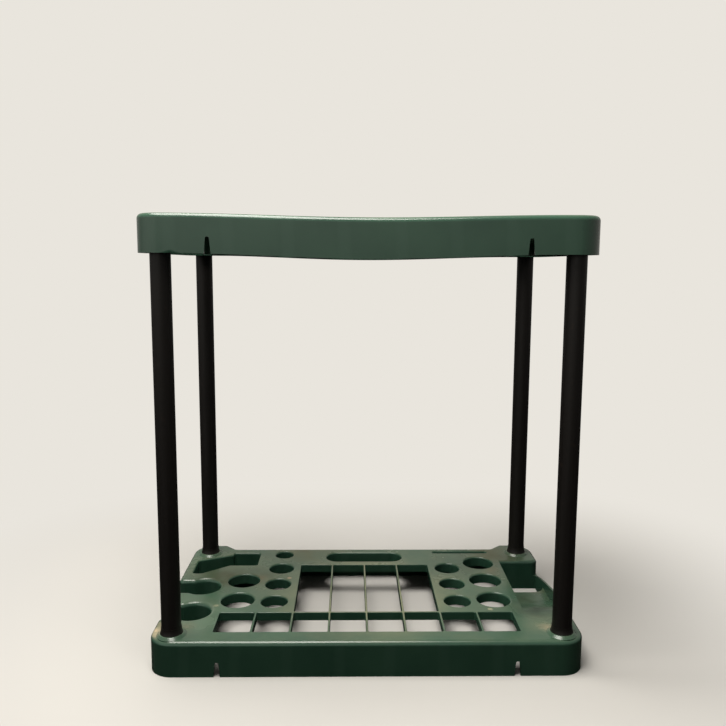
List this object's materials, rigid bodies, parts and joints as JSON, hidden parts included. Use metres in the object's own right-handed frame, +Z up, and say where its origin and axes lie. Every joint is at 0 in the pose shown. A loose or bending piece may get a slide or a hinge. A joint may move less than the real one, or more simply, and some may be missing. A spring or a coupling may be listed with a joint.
{
  "type": "garden tool rack",
  "caption": "Free-standing garden tool rack: matching moulded trays of holes, slots and edge bays, held apart by round corner posts pushed into sockets.",
  "frame": {"origin": "on the floor, under the middle of the rack's plan box", "axes": "+Z up along the posts, +X to the right and +Y to the back as seen from the front, which is the side with the row of square cells"},
  "size_m": [0.6, 0.355, 0.62],
  "materials": {
    "tray_plastic": "dark green moulded polypropylene, satin, dusty",
    "post_steel": "black coated steel tube, satin",
    "collar_plastic": "black moulded plastic, satin"
  },
  "bodies": {
    "base": {"base_tray": "tray_plastic"},
    "top": {"top_tray": "tray_plastic"},
    "post_front_left": {"post_front_left": "post_steel", "foot_collar_front_left": "collar_plastic", "head_collar_front_left": "collar_plastic"},
    "post_front_right": {"post_front_right": "post_steel", "foot_collar_front_right": "collar_plastic", "head_collar_front_right": "collar_plastic"},
    "post_back_left": {"post_back_left": "post_steel", "foot_collar_back_left": "collar_plastic", "head_collar_back_left": "collar_plastic"},
    "post_back_right": {"post_back_right": "post_steel", "foot_collar_back_right": "collar_plastic", "head_collar_back_right": "collar_plastic"}
  },
  "joints": [
    {"name": "post_front_left_lift", "type": "slide", "parent": "base", "child": "post_front_left", "axis": [0, 0, 1], "range_m": [0, 0.045]},
    {"name": "post_front_right_lift", "type": "slide", "parent": "base", "child": "post_front_right", "axis": [0, 0, 1], "range_m": [0, 0.045]},
    {"name": "post_back_left_lift", "type": "slide", "parent": "base", "child": "post_back_left", "axis": [0, 0, 1], "range_m": [0, 0.045]},
    {"name": "post_back_right_lift", "type": "slide", "parent": "base", "child": "post_back_right", "axis": [0, 0, 1], "range_m": [0, 0.045]},
    {"name": "top_lift", "type": "slide", "parent": "post_front_left", "child": "top", "axis": [0, 0, 1], "range_m": [0, 0.045]}
  ],
  "couplings": [
    {"joint": "post_front_right_lift", "follows": "post_front_left_lift", "ratio": 1},
    {"joint": "post_back_left_lift", "follows": "post_front_left_lift", "ratio": 1},
    {"joint": "post_back_right_lift", "follows": "post_front_left_lift", "ratio": 1}
  ]
}
